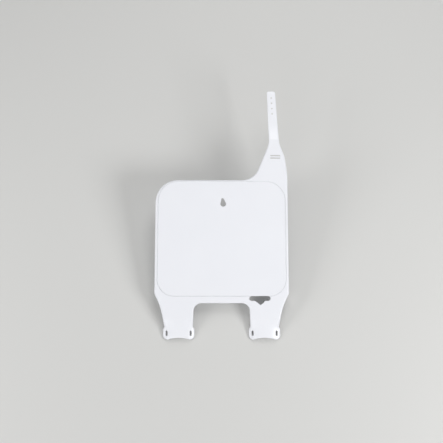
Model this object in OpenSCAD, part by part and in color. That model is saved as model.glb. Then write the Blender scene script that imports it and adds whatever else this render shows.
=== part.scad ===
// Front number board for an off-road motorcycle, moulded in one piece.
// X runs to the right as the board is seen, Z runs up, and the front faces -Y.
// The origin lies midway between the four fork-tie slots, on the plane of the flat front.

/* [Board] */
// Width of the board just above its lower corners
board_low_w = 255; // [240:1:290]
// Width of the board at its top edge
board_top_w = 249; // [235:1:280]
// Height of the top edge above the tie slots
board_top_z = 290; // [270:1:320]
// Height of the lower edge between the legs above the tie slots
board_gap_z = 57; // [45:1:70]
// Height at which the sides turn in towards the legs
board_turn_z = 75; // [70:1:90]
// Radius of the top left corner
top_corner_r = 42; // [20:1:60]
// Radius of the lower corners, where the sides turn in
turn_r = 15; // [8:1:25]
// Thickness of the moulded sheet
wall = 2.2; // [1.8:0.1:3]

/* [Rim] */
// Depth of the returned rim, measured from the front
rim_depth = 7; // [5:0.5:10]
// Length over which the rim runs out below the strap's root
rim_run_out = 60; // [30:1:70]

/* [Number field] */
// Space between the field's groove and the board's side
field_side_gap = 4.2; // [3.5:0.1:8]
// Space between the field's groove and the board's top edge
field_top_gap = 1.7; // [1.5:0.1:6]
// Height of the field's lower edge above the tie slots
field_low_z = 69.6; // [66:0.2:90]
// Radius of the field's lower corners
field_low_r = 33; // [15:1:50]
// Width of the groove round the field
groove_w = 1.8; // [1:0.1:2.5]
// Depth of the groove round the field
groove_d = 0.8; // [0.2:0.1:0.8]

/* [Legs and feet] */
// Distance between the middles of the two feet
fork_spacing = 163; // [155:1:170]
// Width of a leg just above its foot
leg_w = 54; // [50:1:58]
// How far the outer side of a leg stands out where it leaves the board
leg_flare = 7; // [4:0.5:10]
// Height of the bend in the outer side of a leg
leg_bend_z = 50; // [45:1:54]
// Radius of that bend
leg_bend_r = 120; // [40:5:140]
// How far a leg's inner side leans towards the board's middle at its top
leg_in_lean = 2; // [0:0.5:4]
// Radius of the corners between the legs and the lower edge
gap_corner_r = 15; // [8:1:20]
// Width of a foot across its two lugs
foot_w = 59.5; // [56:0.5:64]
// Height of the top of the lugs above the tie slots
lug_top_z = 9.5; // [8:0.5:12]
// Depth of the foot's lower edge below the tie slots
foot_drop = 12; // [9:0.5:15]
// Radius of the lugs' upper corners
lug_top_r = 5; // [2:0.5:8]
// Radius of the lugs' lower corners
lug_low_r = 8; // [4:0.5:10]
// Half the height over which a leg's side swells into its lug
lug_slope = 2; // [1.5:0.1:3]
// Rise of the arch in the foot's lower edge
arch_rise = 3.8; // [1:0.1:6]
// Width of the arch in the foot's lower edge
arch_w = 47; // [36:1:50]
// Radius to which the foot's front wraps round the fork tube
wrap_r = 60; // [45:1:90]
// Height above the tie slots at which the wrapped foot has become flat
wrap_top_z = 30; // [24:1:34]

/* [Tie slots] */
// Distance between the two slots of one foot
slot_spacing = 45.6; // [40:0.2:48]
// Width of a tie slot
slot_w = 3.6; // [3:0.1:5]
// Height of a tie slot
slot_h = 10; // [8:0.5:14]

/* [Strap] */
// Thickness of the strap
strap_t = 2; // [1.6:0.1:2.4]
// Width of the strap at its tip
strap_tip_w = 15.6; // [12:0.2:20]
// Width of the strap at its root
strap_root_w = 19; // [17:0.2:24]
// Height of the strap's tip above the tie slots
strap_tip_z = 458.5; // [430:0.5:490]
// Height of the strap's root above the tie slots
strap_root_z = 366; // [350:0.5:380]
// Distance from the board's right side at its top edge to the middle of the strap's root
strap_root_in = 25.6; // [23:0.2:30]
// How far the middle of the strap's tip lies to the left of its root
strap_tip_shift = 5.5; // [0:0.1:10]
// Radius of the strap's tip corners
strap_tip_r = 3; // [1:0.2:6]
// How far the strap's upper part lies behind the board's front
strap_set_back = 8.2; // [4:0.2:12]
// Height of the curved part of the strap
strap_curve_h = 42; // [30:1:50]
// Radius of a stud hole in the strap
stud_r = 1.6; // [1.2:0.1:2.5]
// Distance between the stud holes
stud_pitch = 10; // [8:0.5:12]
// Number of stud holes
stud_count = 4; // [2:1:4]
// Distance from the strap's tip to its first stud hole
stud_first = 12.4; // [8:0.2:16]

/* [Strap shoulder] */
// Length of the board's top edge that the shoulder takes up, from the board's right side
shoulder_w = 63.5; // [55:0.5:74]
// Radius between the shoulder's left slope and the board's top edge
shoulder_foot_r = 34; // [20:1:40]
// Radius between the shoulder's left slope and the strap
shoulder_neck_r = 45; // [20:1:60]
// Height at which the strap widens into the shoulder
shoulder_neck_z = 359; // [350:0.5:362]
// Height of the bend in the shoulder's right side
shoulder_bend_z = 333.5; // [325:0.5:340]
// Height at which the shoulder's right side meets the board's side
shoulder_side_z = 301; // [296:1:310]
// How far the bend in the right side lies inside the board's side
shoulder_bend_in = 4.5; // [3:0.5:10]
// Radius of the bend in the shoulder's right side
shoulder_bend_r = 40; // [20:1:60]
// Radius between the shoulder's right side and the board's side
shoulder_side_r = 60; // [30:1:90]
// Radius between the shoulder's right side and the strap
shoulder_right_r = 30; // [15:1:40]

/* [Strap loop] */
// Height of the middle of the loop above the tie slots
loop_z = 333.9; // [328:0.1:338]
// How far the loop's middle lies to the right of the strap's own line
loop_shift = 0.5; // [-1:0.1:2]
// Clearance of the strap in the loop, at each side of its tip
loop_side_clear = 1.65; // [0.5:0.05:2]
// Clearance of the strap's thickness in a slit
loop_clear = 0.2; // [0.1:0.05:0.6]
// Diameter of the bar between the two slits
loop_bar_d = 2.5; // [2:0.1:3.5]

/* [Openings] */
// Place of the cable opening to the right of the board's middle
cable_x = 72.4; // [66:0.2:80]
// Height of the middle of the cable opening's upper slot
cable_z = 66.2; // [64:0.2:70]
// Length of the cable opening's upper slot
cable_l = 40; // [30:0.5:45]
// Height of the cable opening's upper slot
cable_h = 9.2; // [6:0.2:10]
// Depth of the pointed part below the upper slot
cable_point = 8; // [5:0.5:11]
// Width of the pointed part where it leaves the upper slot
cable_mouth = 18.2; // [14:0.2:24]
// Place of the point to the right of the opening's middle
cable_tip_x = 1.3; // [0:0.1:4]
// How far the bend right of the point lies inside the end of the mouth
cable_bend_in = 1; // [0:0.1:2]
// Radius of the point
cable_tip_r = 2.6; // [1:0.1:3]
// Place of the peg hole to the right of the board's middle
peg_x = 3.8; // [-5:0.2:8]
// Height of the peg hole's lower edge above the tie slots
peg_low_z = 240.2; // [225:0.2:250]
// Width of the peg hole at its foot
peg_w = 14.2; // [8:0.2:16]
// Width of the peg hole at its top
peg_top_w = 3.8; // [3:0.1:5]
// Height of the peg hole
peg_h = 15.5; // [13:0.5:20]
// How far the peg hole's top leans to the left
peg_lean = 2; // [0:0.1:3]
// Radius of the peg hole's lower corners
peg_corner_r = 4.6; // [2:0.1:5]

/* [Hidden] */
far = 60;
lap = 0.1;
foot_margin = 1.5;
bar_bite = 1;
$fn = 96;

leg_in_x = fork_spacing / 2 - leg_w / 2;
leg_out_x = fork_spacing / 2 + leg_w / 2;
foot_in_x = fork_spacing / 2 - foot_w / 2;
foot_out_x = fork_spacing / 2 + foot_w / 2;
wrap_half = foot_w / 2 + foot_margin;
wrap_tilt = atan(wrap_half * wrap_half / (2 * wrap_r * (wrap_top_z + foot_drop)));
field_top_z = board_top_z - field_top_gap;
shoulder_foot_x = board_top_w / 2 - shoulder_w;
strap_root_x = board_top_w / 2 - strap_root_in;
strap_tip_x = strap_root_x - strap_tip_shift;
strap_rise = strap_tip_z - strap_root_z;
strap_lean = (strap_tip_x - strap_root_x) / strap_rise;
strap_bend_r = (strap_curve_h * strap_curve_h + strap_set_back * strap_set_back) / (2 * strap_set_back);
strap_bend_z = strap_root_z + strap_curve_h;
slit_h = strap_t + loop_clear;
slit_w = strap_tip_w + 2 * loop_side_clear;
loop_x = strap_x(loop_z) + loop_shift;
cable_low_z = cable_z - cable_h / 2;

// Half the board's width at a height, between its lower corners and its top edge
function half_w(z) = board_low_w / 2
    - (z - board_turn_z) * (board_low_w - board_top_w) / 2 / (board_top_z - board_turn_z);

// Middle and width of the strap at a height
function strap_x(z) = strap_root_x + strap_lean * (z - strap_root_z);
function strap_w(z) = strap_root_w + (strap_tip_w - strap_root_w) * (z - strap_root_z) / strap_rise;

// Corners of an outline are [x, z, radius], and run to the left round the shape
function strap_corner(z, side, r) = [strap_x(z) + side * strap_w(z) / 2, z, r];

function leg_corners(side) = [
    [side * half_w(board_turn_z), board_turn_z, turn_r],
    [side * (leg_out_x + leg_flare), leg_bend_z, leg_bend_r],
    [side * leg_out_x, lug_top_z + lug_slope, lug_slope],
    [side * foot_out_x, lug_top_z - lug_slope, lug_top_r],
    [side * foot_out_x, -foot_drop, lug_low_r],
    [side * foot_in_x, -foot_drop, lug_low_r],
    [side * foot_in_x, lug_top_z - lug_slope, lug_top_r],
    [side * leg_in_x, lug_top_z + lug_slope, lug_slope],
    [side * (leg_in_x - leg_in_lean), board_gap_z, gap_corner_r]];

function reversed(list) = [for (i = [len(list) - 1:-1:0]) list[i]];

outline = concat(
    [strap_corner(strap_tip_z, 1, strap_tip_r),
     strap_corner(strap_tip_z, -1, strap_tip_r),
     strap_corner(shoulder_neck_z, -1, shoulder_neck_r),
     [shoulder_foot_x, board_top_z, shoulder_foot_r],
     [-half_w(board_top_z), board_top_z, top_corner_r]],
    leg_corners(-1),
    reversed(leg_corners(1)),
    [[half_w(shoulder_side_z), shoulder_side_z, shoulder_side_r],
     [half_w(shoulder_bend_z) - shoulder_bend_in, shoulder_bend_z, shoulder_bend_r],
     strap_corner(shoulder_neck_z, 1, shoulder_right_r)]);

field = [
    [half_w(field_top_z) - field_side_gap, field_top_z, top_corner_r - field_side_gap],
    [-half_w(field_top_z) + field_side_gap, field_top_z, top_corner_r - field_side_gap],
    [-half_w(field_low_z) + field_side_gap, field_low_z, field_low_r],
    [half_w(field_low_z) - field_side_gap, field_low_z, field_low_r]];

cable_point_corners = [
    [cable_x + cable_mouth / 2, cable_low_z + cable_h / 4, 0],
    [cable_x - cable_mouth / 2, cable_low_z + cable_h / 4, 0],
    [cable_x - cable_mouth / 2, cable_low_z, 0],
    [cable_x + cable_tip_x, cable_low_z - cable_point, cable_tip_r],
    [cable_x + cable_mouth / 2 - cable_bend_in, cable_low_z - cable_point / 3, cable_tip_r],
    [cable_x + cable_mouth / 2, cable_low_z, 0]];

peg_corners = [
    [peg_x - peg_lean + peg_top_w / 2, peg_low_z + peg_h, peg_top_w / 3],
    [peg_x - peg_lean - peg_top_w / 2, peg_low_z + peg_h, peg_top_w / 3],
    [peg_x - peg_w / 2, peg_low_z, peg_corner_r],
    [peg_x + peg_w / 2, peg_low_z, peg_corner_r]];

function flat(p) = [p.x, p.y];
function unit(v) = v / norm(v);

// Turn of an outline at corner b, positive to the left
function turn_at(a, b, c) = (b.x - a.x) * (c.y - b.y) - (b.y - a.y) * (c.x - b.x);

// The same corners, with every side moved inwards by d
function inset(corners, d) =
    let (n = len(corners))
    [for (i = [0:n - 1])
        let (a = corners[(i + n - 1) % n])
        let (b = corners[i])
        let (c = corners[(i + 1) % n])
        let (u = unit(flat(b) - flat(a)))
        let (v = unit(flat(c) - flat(b)))
        let (shift = ([-u.y, u.x] + [-v.y, v.x]) * d / (1 + u * v))
        [b.x + shift.x, b.y + shift.y, max(0, b[2] - (turn_at(a, b, c) > 0 ? d : -d))]];

// Points of the arc that rounds corner b, between its neighbours a and c
function arc_at(a, b, c) =
    let (to_a = unit(flat(a) - flat(b)))
    let (to_c = unit(flat(c) - flat(b)))
    let (half = acos(to_a * to_c) / 2)
    let (middle = flat(b) + unit(to_a + to_c) * b[2] / sin(half))
    let (from = flat(b) + to_a * b[2] / tan(half) - middle)
    let (turn = (90 - half) * (turn_at(a, b, c) > 0 ? 2 : -2))
    let (start = atan2(from.y, from.x))
    let (steps = max(2, ceil(abs(turn) * $fn / 720)))
    [for (i = [0:steps]) middle + b[2] * [cos(start + turn * i / steps), sin(start + turn * i / steps)]];

// Length that the rounding of corner b takes up on each side beside it
function arc_reach(a, b, c) = b[2] / tan(acos(unit(flat(a) - flat(b)) * unit(flat(c) - flat(b))) / 2);

// The same corners, with smaller radii where two roundings would meet on a short side
function fitted(corners) =
    let (n = len(corners))
    let (reach = [for (i = [0:n - 1]) arc_reach(corners[(i + n - 1) % n], corners[i], corners[(i + 1) % n])])
    let (side = [for (i = [0:n - 1]) norm(flat(corners[(i + 1) % n]) - flat(corners[i])) - lap])
    let (room = [for (i = [0:n - 1]) side[i] / max(reach[i] + reach[(i + 1) % n], lap)])
    [for (i = [0:n - 1])
        [corners[i].x, corners[i].y, corners[i][2] * min(1, room[i], room[(i + n - 1) % n])]];

// Points of a whole outline, with its corners rounded
function rounded(given) =
    let (corners = fitted(given))
    let (n = len(corners))
    [for (i = [0:n - 1])
        each corners[i][2] > 0
            ? arc_at(corners[(i + n - 1) % n], corners[i], corners[(i + 1) % n])
            : [flat(corners[i])]];

// A front-view shape given depth, from y0 at its front to y1 at its back
module slab(corners, y0, y1) {
    translate([0, y1, 0]) rotate([90, 0, 0]) linear_extrude(y1 - y0) polygon(rounded(corners));
}

// Everything between two heights
module band(z0, z1) {
    translate([-board_low_w, -far, z0]) cube([board_low_w * 2, far * 2, z1 - z0]);
}

// Everything below a height
module below(z) {
    translate([-board_low_w, -far, z]) mirror([0, 0, 1]) cube([board_low_w * 2, far * 2, far]);
}

// Everything behind a depth and above a height
module behind(y, z) {
    translate([-board_low_w, y, z]) cube([board_low_w * 2, far, far * 2]);
}

// The round form that a foot wraps to, reduced by the sheet's thickness for its back
module wrap(side, shrink) {
    translate([side * fork_spacing / 2, 0, -foot_drop]) rotate([wrap_tilt, 0, 0])
        translate([0, wrap_r, -far]) cylinder(r = wrap_r - shrink, h = far * 3);
}

// Flat sheet with its returned rim, from the top of the feet up to the strap's root
module sheet() {
    difference() {
        intersection() {
            slab(outline, 0, rim_depth);
            band(wrap_top_z, strap_root_z);
        }
        slab(inset(outline, wall), wall, far);
        translate([0, rim_depth, strap_root_z - rim_run_out])
            rotate([atan((rim_depth - wall) / rim_run_out), 0, 0]) translate([0, 0, -1])
            cube([board_low_w, far, far * 2]);
    }
}

// Lower end of a leg: a shallow saddle in front of the fork tube, between two lugs
module foot(side) {
    difference() {
        intersection() {
            slab(outline, 0, rim_depth + wrap_r / 4);
            translate([side * fork_spacing / 2 - wrap_half, -far, -foot_drop - 1])
                cube([wrap_half * 2, far * 2, wrap_top_z + foot_drop + 1 + lap]);
            wrap(side, 0);
        }
        intersection() {
            slab(inset(outline, wall), wall, far);
            wrap(side, wall);
            band(lug_top_z, far);
        }
        intersection() {
            behind(wall, -far);
            wrap(side, wall);
            below(lug_top_z);
        }
        behind(rim_depth, lug_top_z);
        arch_r = (arch_w * arch_w / 4 + arch_rise * arch_rise) / (2 * arch_rise);
        translate([side * fork_spacing / 2, far, arch_rise - foot_drop - arch_r])
            rotate([90, 0, 0]) cylinder(r = arch_r, h = far * 2);
    }
}

// Strap: it curves back from the board's plane, then runs straight up behind it
module strap() {
    intersection() {
        slab(outline, 0, far);
        union() {
            intersection() {
                band(strap_root_z - wall, strap_bend_z + lap);
                translate([0, strap_set_back - strap_bend_r, strap_bend_z]) rotate([0, 90, 0]) difference() {
                    cylinder(r = strap_bend_r + strap_t, h = board_low_w);
                    translate([0, 0, -1]) cylinder(r = strap_bend_r, h = board_low_w + 2);
                }
            }
            translate([0, strap_set_back, strap_bend_z])
                cube([board_low_w, strap_t, strap_tip_z - strap_bend_z + lap]);
        }
    }
}

module stud_holes() {
    for (i = [0:stud_count - 1])
        let (z = strap_tip_z - stud_first - stud_pitch * i)
        translate([strap_x(z), far, z]) rotate([90, 0, 0]) cylinder(r = stud_r, h = far * 2);
}

module tie_slots() {
    for (side = [-1, 1], edge = [-1, 1])
        translate([side * fork_spacing / 2 + edge * slot_spacing / 2, far, 0]) rotate([90, 0, 0])
            linear_extrude(far * 2) {
                square([slot_w, slot_h - slot_w], center = true);
                for (end = [-1, 1]) translate([0, end * (slot_h - slot_w) / 2]) circle(d = slot_w);
            }
}

// Slot with round ends for the brake hose and cables, with a pointed part below it
module cable_opening() {
    slab(cable_point_corners, -far, far);
    translate([cable_x, far, cable_z]) rotate([90, 0, 0]) linear_extrude(far * 2) {
        square([cable_l - cable_h, cable_h], center = true);
        for (end = [-1, 1]) translate([end * (cable_l - cable_h) / 2, 0]) circle(d = cable_h);
    }
}

// Two slits with a round bar between them, which the strap's tip threads behind
module loop_slits() {
    translate([loop_x, 0, loop_z]) cube([slit_w, far, slit_h * 2 + loop_bar_d], center = true);
}

module loop_bar() {
    translate([loop_x - slit_w / 2 - bar_bite, wall / 2, loop_z]) rotate([0, 90, 0])
        cylinder(d = loop_bar_d, h = slit_w + bar_bite * 2);
}

module field_groove() {
    difference() {
        slab(field, -1, groove_d);
        slab(inset(field, groove_w), -2, groove_d + 1);
    }
}

module number_board() {
    color("whitesmoke") {
        difference() {
            union() {
                sheet();
                for (side = [-1, 1]) foot(side);
                strap();
            }
            field_groove();
            slab(peg_corners, -far, far);
            cable_opening();
            loop_slits();
            stud_holes();
            tie_slots();
        }
        loop_bar();
    }
}

number_board();
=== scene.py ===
from math import cos, radians, sin, sqrt, tan

import bmesh
import bpy
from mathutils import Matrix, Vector


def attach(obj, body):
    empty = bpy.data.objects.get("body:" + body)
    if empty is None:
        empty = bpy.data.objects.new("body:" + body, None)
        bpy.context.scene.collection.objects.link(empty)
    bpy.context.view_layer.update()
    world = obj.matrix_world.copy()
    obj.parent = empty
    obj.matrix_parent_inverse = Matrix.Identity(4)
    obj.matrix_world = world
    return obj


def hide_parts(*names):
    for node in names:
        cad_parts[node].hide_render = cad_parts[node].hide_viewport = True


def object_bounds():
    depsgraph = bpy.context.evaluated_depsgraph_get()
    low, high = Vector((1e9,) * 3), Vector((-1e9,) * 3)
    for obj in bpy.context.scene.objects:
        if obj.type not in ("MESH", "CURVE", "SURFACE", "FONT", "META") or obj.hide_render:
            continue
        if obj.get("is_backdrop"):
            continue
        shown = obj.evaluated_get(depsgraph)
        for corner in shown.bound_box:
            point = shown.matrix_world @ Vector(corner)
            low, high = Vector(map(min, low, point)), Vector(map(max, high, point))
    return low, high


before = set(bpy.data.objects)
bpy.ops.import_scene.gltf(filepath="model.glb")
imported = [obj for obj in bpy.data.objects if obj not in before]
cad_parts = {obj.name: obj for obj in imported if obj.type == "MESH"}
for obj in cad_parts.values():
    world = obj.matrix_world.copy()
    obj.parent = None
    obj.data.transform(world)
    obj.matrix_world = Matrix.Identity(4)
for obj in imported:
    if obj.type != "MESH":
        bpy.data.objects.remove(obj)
cad_low, cad_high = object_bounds()
mm = 0.001


# Board sheet
# The whole board is one injection moulding of white plastic, about 2.2 mm thick, with a rim
# turned back round its edge. Its front outline is drawn first and its corners rounded.

strap_root_z = 366
outline = [
    (108.4, strap_root_z, 0), (89.4, strap_root_z, 0), (89.7, 359, 45), (61, 290, 34), (-124.5, 290, 42),
    (-127.5, 75, 15), (-115.5, 50, 120), (-108.5, 11.5, 2), (-111.25, 7.5, 5), (-111.25, -14.4, 7.6),
    (-90.3, -8.2, 60), (-72.7, -8.2, 60), (-51.75, -14.4, 7.6), (-51.75, 7.5, 5), (-54.5, 11.5, 2),
    (-52.5, 57, 15), (52.5, 57, 15), (54.5, 11.5, 2), (51.75, 7.5, 5), (51.75, -14.4, 7.6),
    (72.7, -8.2, 60), (90.3, -8.2, 60), (111.25, -14.4, 7.6), (111.25, 7.5, 5), (108.5, 11.5, 2),
    (115.5, 50, 120), (127.5, 75, 15),
    (124.35, 301, 60), (119.39, 333.5, 40), (108.94, 359, 30)]
wall = 2.2
rim_depth = 7
lug_top_z = 9.5
rim_run_out = 60
pocket_top_z = 360
pocket_depth = 20
arc_step = radians(5)


def pick(kind, test):
    """Selects the vertices, edges or faces of the open piece that pass a test."""
    bpy.ops.mesh.select_mode(type=kind)
    bpy.ops.mesh.select_all(action="DESELECT")
    mesh = bmesh.from_edit_mesh(bpy.context.edit_object.data)
    for item in {"VERT": mesh.verts, "EDGE": mesh.edges, "FACE": mesh.faces}[kind]:
        if test(item):
            item.select_set(True)
    mesh.select_flush_mode()
    bmesh.update_edit_mesh(bpy.context.edit_object.data)


def draw(name, corners, depth):
    """Draws a closed outline in the X-Z plane, corner by corner, and rounds its corners."""
    bpy.ops.object.select_all(action="DESELECT")
    bpy.ops.mesh.primitive_plane_add(size=mm)
    piece = bpy.context.object
    piece.name = piece.data.name = name
    bpy.ops.object.mode_set(mode="EDIT")
    bpy.ops.mesh.select_mode(type="VERT")
    bpy.ops.mesh.select_all(action="SELECT")
    bpy.ops.mesh.merge(type="CENTER")
    here = (0, 0, 0)
    for i, (x, z, radius) in enumerate(corners):
        step = ((x - here[0]) * mm, (depth - here[1]) * mm, (z - here[2]) * mm)
        if i:
            bpy.ops.mesh.extrude_region_move(TRANSFORM_OT_translate={"value": step})
        else:
            bpy.ops.transform.translate(value=step)
        here = (x, depth, z)
    bpy.ops.mesh.select_all(action="SELECT")
    bpy.ops.mesh.edge_face_add()
    for i, (x, z, radius) in enumerate(corners):
        if not radius:
            continue
        last_x, last_z, _ = corners[i - 1]
        next_x, next_z, _ = corners[(i + 1) % len(corners)]
        corner = Vector((x, depth, z)) * mm
        before = Vector((last_x, depth, last_z)) * mm - corner
        after = Vector((next_x, depth, next_z)) * mm - corner
        turn = before.angle(-after)
        pick("VERT", lambda v: (v.co - corner).length < 0.01 * mm)
        bpy.ops.mesh.bevel(
            offset=radius * mm * tan(turn / 2), offset_type="OFFSET", affect="VERTICES", clamp_overlap=False,
            segments=max(2, round(turn / arc_step)), profile=(1 - 0.5 / (1 + cos(turn / 2))) ** 2)
    return piece


def thicken(depth):
    """Gives the open piece's outline a depth towards the back, as a closed solid."""
    bpy.ops.mesh.select_all(action="SELECT")
    bpy.ops.mesh.extrude_region_move(TRANSFORM_OT_translate={"value": (0, depth * mm, 0)})
    bpy.ops.mesh.select_all(action="SELECT")
    bpy.ops.mesh.normals_make_consistent(inside=False)


def join_solid(piece, other, operation):
    """Cuts another solid out of a piece, or adds it, and removes that solid."""
    bpy.ops.object.mode_set(mode="OBJECT")
    bpy.ops.object.select_all(action="DESELECT")
    bpy.context.view_layer.objects.active = piece
    piece.select_set(True)
    bpy.ops.object.modifier_add(type="BOOLEAN")
    piece.modifiers[-1].object = other
    piece.modifiers[-1].operation = operation
    piece.modifiers[-1].solver = "EXACT"
    bpy.ops.object.modifier_apply(modifier=piece.modifiers[-1].name)
    bpy.data.objects.remove(other)


pocket = draw("pocket", [(107.3, 380, 0), (88.8, 380, 0)] + outline[2:], wall)
pick("FACE", lambda f: True)
bpy.ops.mesh.inset(thickness=wall * mm, depth=0, use_even_offset=True)
bpy.ops.mesh.select_all(action="INVERT")
bpy.ops.mesh.delete(type="FACE")
thicken(pocket_depth)
bpy.ops.mesh.bisect(plane_co=(0, 0, pocket_top_z * mm), plane_no=(0, 0, 1), clear_outer=True, use_fill=True)
bpy.ops.object.mode_set(mode="OBJECT")

board = draw("board", outline, 0)
thicken(rim_depth)
join_solid(board, pocket, "DIFFERENCE")

# The lugs are plain sheet, so the rim ends above them.
cut_w, cut_d, cut_h = 400, 40, 100
bpy.ops.mesh.primitive_cube_add(
    size=1, location=(0, (wall + cut_d / 2) * mm, (lug_top_z - cut_h / 2) * mm),
    scale=(cut_w * mm, cut_d * mm, cut_h * mm))
join_solid(board, bpy.context.object, "DIFFERENCE")

# Towards the strap the rim gets lower along a slope.
cut_w, cut_h = 100, 200
bpy.ops.mesh.primitive_cube_add(
    size=1, location=(cut_w * mm, cut_d / 2 * mm, 0), scale=(cut_w * mm, cut_d * mm, cut_h * mm))
run_out = bpy.context.object
bpy.ops.object.mode_set(mode="EDIT")
bpy.ops.mesh.select_all(action="SELECT")
bpy.ops.transform.translate(value=(0, rim_depth * mm, (strap_root_z - rim_run_out + cut_h / 2) * mm))
pick("VERT", lambda v: v.co.z > strap_root_z * mm and v.co.y < cut_d / 2 * mm)
bpy.ops.transform.translate(value=(0, -(rim_depth - wall) * mm * cut_h / rim_run_out, 0))
join_solid(board, run_out, "DIFFERENCE")


# Strap
# The strap grows out of the shoulder as a flat tongue of the same plastic. It is pulled up row
# by row, bends back behind the board and runs straight to its tip, getting narrower.

strap_x = 98.9
strap_lean = 5.5
strap_w = 19
strap_taper = 3.4
strap_wall = 2
strap_tip_z = 458.5
strap_tip_r = 3.6
strap_back = 8.2
strap_bend_z = 408
strap_bend_r = 111.66
strap_rows = [366, 368, 371, 375, 380, 385, 390, 395, 400, 404, 408, 413, 430, strap_tip_z]


def strap_place(z):
    """Middle, front, width and thickness of the strap at a height."""
    up = (z - strap_root_z) / (strap_tip_z - strap_root_z)
    front = strap_back
    back = strap_back + strap_wall
    if z < strap_bend_z:
        back_r = strap_bend_r + strap_wall
        front += sqrt(strap_bend_r ** 2 - (strap_bend_z - z) ** 2) - strap_bend_r
        back += sqrt(back_r ** 2 - (strap_bend_z - z) ** 2) - back_r
    return strap_x - strap_lean * up, front, strap_w - strap_taper * up, back - front


bpy.ops.object.mode_set(mode="EDIT")
pick("FACE", lambda f: f.normal.z > 0.9 and f.calc_center_median().z > (strap_root_z - 0.1) * mm)
for low_z, high_z in zip(strap_rows, strap_rows[1:]):
    low, high = strap_place(low_z), strap_place(high_z)
    bpy.ops.mesh.extrude_region_move(TRANSFORM_OT_translate={
        "value": ((high[0] - low[0]) * mm, (high[1] - low[1]) * mm, (high_z - low_z) * mm)})
    bpy.ops.transform.resize(
        value=(high[2] / low[2], high[3] / low[3], 1),
        center_override=(high[0] * mm, high[1] * mm, high_z * mm))
pick("EDGE", lambda e: all(v.co.z > (strap_tip_z - 0.1) * mm for v in e.verts)
     and abs(e.verts[0].co.x - e.verts[1].co.x) < mm)
bpy.ops.mesh.bevel(offset=strap_tip_r * mm, segments=6, affect="EDGES", clamp_overlap=False)


# Rolled front edge
# The front rolls over into the rim with a radius of about 3 mm, less on the thin strap and
# feet. Rings are inset into the front and pressed back, each by its share of the radius.

edge_r = 3
ring_steps = 6
pick("FACE", lambda f: f.normal.y < -0.7)
board.vertex_groups.new(name="edge")
for i in range(ring_steps):
    bpy.context.scene.tool_settings.vertex_group_weight = 1 - sin(radians(90) * i / ring_steps)
    bpy.ops.mesh.select_mode(type="FACE")
    bpy.ops.object.vertex_group_assign()
    bpy.ops.mesh.inset(
        thickness=edge_r * mm * (cos(radians(90) * i / ring_steps) - cos(radians(90) * (i + 1) / ring_steps)),
        depth=0, use_even_offset=True)
bpy.context.scene.tool_settings.vertex_group_weight = 0
bpy.ops.object.vertex_group_assign()
bpy.context.scene.tool_settings.vertex_group_weight = 1


# Feet
# Each foot is pressed back at both sides to sit on a round fork tube. The leg is cut into a
# grid first, and its weights grow from the middle to the sides and down to the lugs.

foot_x = 81.5
saddle_top_z = 30
saddle_depth = 7.4
saddle_fade = 26
foot_half = 29.75
grid_x, grid_z = 2.8, 3
strap_thin_z = 320
foot_thin_z, foot_thin_run = 26, 16
thin_roll = 0.3
rim_overlap = 0.4


def cut_grid(axis, places, low_z, high_z, low_x, high_x):
    """Cuts the faces inside a box across, at each of the given places along X or Z."""
    for place in places:
        pick("FACE", lambda f: low_z * mm - 0.02 * mm <= min(v.co.z for v in f.verts)
             and max(v.co.z for v in f.verts) <= high_z * mm + 0.02 * mm
             and low_x * mm <= f.calc_center_median().x <= high_x * mm)
        bpy.ops.mesh.bisect(
            plane_co=(place * mm, 0, 0) if axis == "X" else (0, 0, place * mm),
            plane_no=(1, 0, 0) if axis == "X" else (0, 0, 1))


bpy.ops.mesh.select_all(action="SELECT")
bpy.ops.mesh.bisect(plane_co=(0, 0, saddle_top_z * mm), plane_no=(0, 0, 1))
for side in (-1, 1):
    foot_box = (-20, saddle_top_z, side * foot_x - 40, side * foot_x + 40)
    cut_grid("Z", range(-9, saddle_top_z, grid_z), *foot_box)
    cut_grid("X", [side * foot_x + grid_x * i for i in range(-10, 11)], *foot_box)
bpy.ops.object.mode_set(mode="OBJECT")

edge = board.vertex_groups["edge"]
saddle = board.vertex_groups.new(name="saddle")
for v in board.data.vertices:
    x, z = v.co.x / mm, v.co.z / mm
    weight = next((g.weight for g in v.groups if g.group == edge.index), 0)
    if weight:
        thin = max(min(1, (z - strap_thin_z) / (strap_root_z - strap_thin_z)),
                   min(1, (foot_thin_z - z) / foot_thin_run), 0)
        edge.add([v.index], weight * (1 - (1 - thin_roll) * thin), "REPLACE")
    if z < saddle_top_z + 0.1:
        across = min(abs(abs(x) - foot_x) / foot_half, 1)
        down = min(1, (saddle_top_z - z) / saddle_fade)
        press = saddle_depth * across ** 2 * down * down * (3 - 2 * down)
        if v.co.y > (rim_depth - 1) * mm:
            press = max(0, press + wall + rim_overlap - rim_depth)
        saddle.add([v.index], press / saddle_depth, "REPLACE")


def press_back(piece, group, depth):
    """Moves a piece's surface back along Y, by the weights of a vertex group."""
    bpy.ops.object.modifier_add(type="DISPLACE")
    piece.modifiers[-1].direction = "Y"
    piece.modifiers[-1].vertex_group = group
    piece.modifiers[-1].strength = depth * mm
    piece.modifiers[-1].mid_level = 0
    bpy.ops.object.modifier_apply(modifier=piece.modifiers[-1].name)


press_back(board, "edge", edge_r)
press_back(board, "saddle", saddle_depth)


# Openings
# The four tie slots, the cable opening with its pointed part, the peg hole, the loop's slits
# and the strap's stud holes all go straight through.

def cut_through(corners):
    """Cuts an outline right through the board, with a cutter that stands out on both sides."""
    cutter = draw("cutter", corners, -30)
    thicken(80)
    join_solid(board, cutter, "DIFFERENCE")


def slot_corners(x, z, width, height):
    """Corners of an upright or lying slot with round ends."""
    r = min(width, height) / 2 - 0.001
    return [(x + width / 2, z + height / 2, r), (x - width / 2, z + height / 2, r),
            (x - width / 2, z - height / 2, r), (x + width / 2, z - height / 2, r)]


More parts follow.
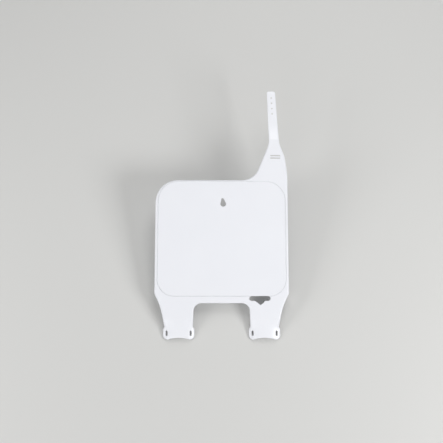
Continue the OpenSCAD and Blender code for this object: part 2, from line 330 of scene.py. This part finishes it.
tie_x = 22.8
tie_w, tie_h = 3.6, 10
for x in (-foot_x - tie_x, -foot_x + tie_x, foot_x - tie_x, foot_x + tie_x):
    cut_through(slot_corners(x, 0, tie_w, tie_h))

cable_x, cable_z = 72.4, 66.2
cable_w, cable_h = 40, 9.2
point_r = 2.6
cut_through(slot_corners(cable_x, cable_z, cable_w, cable_h))
cut_through([(81.5, 64, 0), (63.3, 64, 0), (63.3, 61.6, 0),
             (73.7, 53.6, point_r), (80.5, 58.93, point_r), (81.5, 61.6, 0)])

peg_top_z, peg_low_z = 255.7, 240.2
cut_through([(3.7, peg_top_z, 1.27), (-0.1, peg_top_z, 1.27), (-3.3, peg_low_z, 4.6), (10.9, peg_low_z, 4.6)])

# The loop is one hole with a round bar left across it, which makes two slits.
loop_x, loop_z = 101.3, 333.9
loop_w, loop_h = 18.9, 6.9
bar_d = 2.5
cut_through([(loop_x + loop_w / 2, loop_z + loop_h / 2, 0), (loop_x - loop_w / 2, loop_z + loop_h / 2, 0),
             (loop_x - loop_w / 2, loop_z - loop_h / 2, 0), (loop_x + loop_w / 2, loop_z - loop_h / 2, 0)])

stud_r = 1.6
stud_pitch = 10
stud_from_tip = 12.4
for i in range(4):
    z = strap_tip_z - stud_from_tip - stud_pitch * i
    bpy.ops.mesh.primitive_cylinder_add(
        vertices=32, radius=stud_r * mm, depth=0.1, rotation=(radians(90), 0, 0),
        location=(strap_place(z)[0] * mm, 0, z * mm))
    join_solid(board, bpy.context.object, "DIFFERENCE")

bpy.ops.mesh.primitive_cylinder_add(
    vertices=32, radius=bar_d / 2 * mm, depth=(loop_w + 2) * mm, rotation=(0, radians(90), 0),
    location=(loop_x * mm, wall / 2 * mm, loop_z * mm))
join_solid(board, bpy.context.object, "UNION")

# The edges of the openings are slightly rounded at the front.
bpy.ops.object.mode_set(mode="EDIT")


def front_edge(e, low_x, low_z, high_x, high_z):
    """True for an edge between the front and a wall of an opening inside a box."""
    middle = (e.verts[0].co + e.verts[1].co) / 2 / mm
    facing = sorted(f.normal.y for f in e.link_faces)
    return (low_x < middle.x < high_x and low_z < middle.z < high_z
            and facing[0] < -0.7 and abs(facing[1]) < 0.3)


for low_x, low_z, high_x, high_z, round_r in (
        (-107, -6, -102, 6, 0.7), (-61, -6, -56, 6, 0.7), (56, -6, 61, 6, 0.7), (102, -6, 107, 6, 0.7),
        (51.5, 51.5, 93.5, 71.5, 0.8), (-4, 239, 12, 257, 0.8), (91, 329, 111.5, 339, 0.4)):
    pick("EDGE", lambda e: front_edge(e, low_x, low_z, high_x, high_z))
    bpy.ops.mesh.bevel(offset=round_r * mm, segments=3, affect="EDGES", clamp_overlap=False)
bpy.ops.object.mode_set(mode="OBJECT")


# Number field
# A shallow groove, rounded at its bottom, frames the flat field that takes the number sheet.

groove_w = 1.8
groove_d = 0.8
groove_r = (groove_w ** 2 / 4 + groove_d ** 2) / (2 * groove_d)
groove = draw("groove", [(120.3, 288.3, 37.8), (-120.3, 288.3, 37.8), (-123.4, 69.6, 33), (123.4, 69.6, 33)],
              groove_d - groove_r)
pick("FACE", lambda f: True)
bpy.ops.mesh.inset(thickness=groove_w / 2 * mm, depth=0, use_even_offset=True)
bpy.ops.mesh.select_all(action="INVERT")
bpy.ops.mesh.delete(type="FACE")
bpy.ops.mesh.select_all(action="SELECT")
bpy.ops.mesh.delete(type="ONLY_FACE")
bpy.ops.object.mode_set(mode="OBJECT")
bpy.ops.object.convert(target="CURVE")
groove = bpy.context.object
groove.data.dimensions = "3D"
groove.data.bevel_depth = groove_r * mm
groove.data.bevel_resolution = 3
bpy.ops.object.convert(target="MESH")
join_solid(board, bpy.context.object, "DIFFERENCE")

bpy.ops.object.shade_smooth_by_angle(angle=radians(32))
bpy.ops.object.modifier_add(type="WEIGHTED_NORMAL")
board.modifiers[-1].keep_sharp = True
bpy.ops.object.modifier_apply(modifier=board.modifiers[-1].name)


# White plastic
# Polypropylene filled with white, left semi-glossy by the mould: barely uneven in colour, with
# a fine grain, slight waves where the sheet cooled, faint scuffs that change only the gloss, and
# painted shade that darkens the colour in the groove, the slots and the other hollows.

plastic = bpy.data.materials.new("white_plastic")
plastic.use_nodes = True
nodes, links = plastic.node_tree.nodes, plastic.node_tree.links
shader = nodes["Principled BSDF"]
shader.inputs["IOR"].default_value = 1.49
where = nodes.new("ShaderNodeTexCoord")


def noise(scale, detail, roughness):
    """A noise pattern on the piece's own coordinates, in metres."""
    pattern = nodes.new("ShaderNodeTexNoise")
    pattern.inputs["Scale"].default_value = scale
    pattern.inputs["Detail"].default_value = detail
    pattern.inputs["Roughness"].default_value = roughness
    links.new(where.outputs["Object"], pattern.inputs["Vector"])
    return pattern.outputs["Fac"]


def ramp(source, low, high, from_colour, to_colour):
    """Turns a pattern into a blend of two colours or grey levels."""
    blend = nodes.new("ShaderNodeValToRGB")
    blend.color_ramp.elements[0].position = low
    blend.color_ramp.elements[1].position = high
    blend.color_ramp.elements[0].color = (*from_colour, 1)
    blend.color_ramp.elements[1].color = (*to_colour, 1)
    links.new(source, blend.inputs["Fac"])
    return blend.outputs["Color"]


def bump(source, strength, distance, below=None):
    """Raises a pattern on the surface, on top of an earlier bump if there is one."""
    relief = nodes.new("ShaderNodeBump")
    relief.inputs["Strength"].default_value = strength
    relief.inputs["Distance"].default_value = distance * mm
    links.new(source, relief.inputs["Height"])
    if below:
        links.new(below, relief.inputs["Normal"])
    return relief.outputs["Normal"]


white_low, white_high = (0.815, 0.827, 0.87), (0.84, 0.852, 0.892)
gloss_low, gloss_high = (0.27, 0.27, 0.27), (0.295, 0.295, 0.295)
# Grey that the painted shade in the hollows darkens the white towards.
crevice_shade_grey = (0.77, 0.77, 0.76)
clean = ramp(noise(14, 3, 0.5), 0.15, 0.85, white_low, white_high)
# Painted shade: an occlusion node darkens the base colour wherever the surface is closed in, such as in the
# groove, the slots and inner corners.
crevice_occlusion = nodes.new("ShaderNodeAmbientOcclusion")
crevice_occlusion.only_local = True
crevice_occlusion.inputs["Distance"].default_value = 1.6 * mm
painted_shade_mix = nodes.new("ShaderNodeMix")
painted_shade_mix.data_type = "RGBA"
painted_shade_mix.blend_type = "MULTIPLY"
painted_shade_mix.inputs["Factor"].default_value = 1
colour_a, colour_b = (socket for socket in painted_shade_mix.inputs if socket.type == "RGBA")
mixed = next(socket for socket in painted_shade_mix.outputs if socket.type == "RGBA")
links.new(clean, colour_a)
links.new(ramp(crevice_occlusion.outputs["AO"], 0.55, 0.95, crevice_shade_grey, (1, 1, 1)), colour_b)
links.new(mixed, shader.inputs["Base Color"])
links.new(ramp(noise(22, 3, 0.5), 0.15, 0.85, gloss_low, gloss_high), shader.inputs["Roughness"])
waves = bump(noise(9, 2, 0.5), 0.4, 1.0)
links.new(bump(noise(2600, 2, 0.5), 0.12, 0.05, waves), shader.inputs["Normal"])
board.data.materials.clear()
board.data.materials.append(plastic)

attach(board, "root")
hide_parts("number_board")


# Floor
# The board is photographed from straight above, so the floor is a sheet of pale card behind it:
# the feet touch it and it leans away from the board towards the strap. It has no colour from
# behind and stops no lamp, so that the board's back can be seen and is lit.

card_lean = radians(77)
card_y = 9.8
card_side = 8
bpy.ops.object.select_all(action="DESELECT")
bpy.ops.mesh.primitive_plane_add(
    size=card_side, location=(0, card_y * mm, cad_low.z), rotation=(card_lean, 0, 0))
card = bpy.context.object
card.name = "card"
bpy.ops.object.transform_apply(location=True, rotation=True)
bpy.ops.object.mode_set(mode="EDIT")
bpy.ops.mesh.select_all(action="SELECT")
bpy.ops.mesh.subdivide(number_cuts=3)
bpy.ops.object.mode_set(mode="OBJECT")

paper = bpy.data.materials.new("pale_card")
paper.use_nodes = True
nodes, links = paper.node_tree.nodes, paper.node_tree.links
nodes["Principled BSDF"].inputs["Base Color"].default_value = (0.655, 0.655, 0.642, 1)
nodes["Principled BSDF"].inputs["Roughness"].default_value = 0.9
nodes["Principled BSDF"].inputs["Specular IOR Level"].default_value = 0.2
sides = nodes.new("ShaderNodeMixShader")
clear = nodes.new("ShaderNodeBsdfTransparent")
facing = nodes.new("ShaderNodeNewGeometry")
ray = nodes.new("ShaderNodeLightPath")
either = nodes.new("ShaderNodeMath")
either.operation = "MAXIMUM"
links.new(facing.outputs["Backfacing"], either.inputs[0])
links.new(ray.outputs["Is Shadow Ray"], either.inputs[1])
links.new(either.outputs["Value"], sides.inputs["Fac"])
links.new(nodes["Principled BSDF"].outputs["BSDF"], sides.inputs[1])
links.new(clear.outputs["BSDF"], sides.inputs[2])
links.new(sides.outputs["Shader"], nodes["Material Output"].inputs["Surface"])
card.data.materials.append(paper)
card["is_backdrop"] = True


# Lamps and camera
# Soft boxes stand round the board in a pale room: at its left, right, top and lower left, below
# its feet, and two behind it. The camera looks straight at the board.

lamp_aim = Vector((0, 0, 0.18))
lamp_far = 1.6
for across, up, power, size in (
        (-60, 0, 8.2, 0.6), (50, -12, 13, 0.6), (10, 45, 6.2, 0.7), (25, 65, 3.6, 0.8),
        (-35, -40, 6.2, 1.4), (0, -60, 4.2, 1.6), (150, 25, 2, 0.8), (-150, 15, 0.8, 0.8)):
    side, height = radians(across), radians(up)
    bpy.ops.object.light_add(type="AREA", location=(
        lamp_far * sin(side) * cos(height), -lamp_far * cos(side) * cos(height),
        lamp_far * sin(height) + lamp_aim.z))
    lamp = bpy.context.object
    lamp.data.energy = power
    lamp.data.size = size
    lamp.rotation_euler = (lamp_aim - lamp.location).to_track_quat("-Z", "Y").to_euler()

# The room lights the board weakly, and looks pale to the camera and in reflections.
room = bpy.data.worlds.new("room")
bpy.context.scene.world = room
room.use_nodes = True
nodes, links = room.node_tree.nodes, room.node_tree.links
nodes["Background"].inputs["Color"].default_value = (1, 1, 1, 1)
ray = nodes.new("ShaderNodeLightPath")
seen = nodes.new("ShaderNodeMapRange")
seen.inputs["To Min"].default_value = 0.16
seen.inputs["To Max"].default_value = 0.85
pale = ray.outputs["Is Camera Ray"]
for kind in ("Is Glossy Ray", "Is Transmission Ray"):
    either = nodes.new("ShaderNodeMath")
    either.operation = "MAXIMUM"
    links.new(pale, either.inputs[0])
    links.new(ray.outputs[kind], either.inputs[1])
    pale = either.outputs["Value"]
links.new(pale, seen.inputs["Value"])
links.new(seen.outputs["Result"], nodes["Background"].inputs["Strength"])

camera_x, camera_far, camera_z = -0.2, 1977, 211.7
bpy.ops.object.camera_add(
    location=(camera_x * mm, -camera_far * mm, camera_z * mm), rotation=(radians(90), 0, 0))
camera = bpy.context.object
camera.data.lens = 85
camera.data.sensor_width = 36
bpy.context.scene.camera = camera
bpy.context.scene.view_settings.view_transform = "Standard"

low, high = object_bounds()
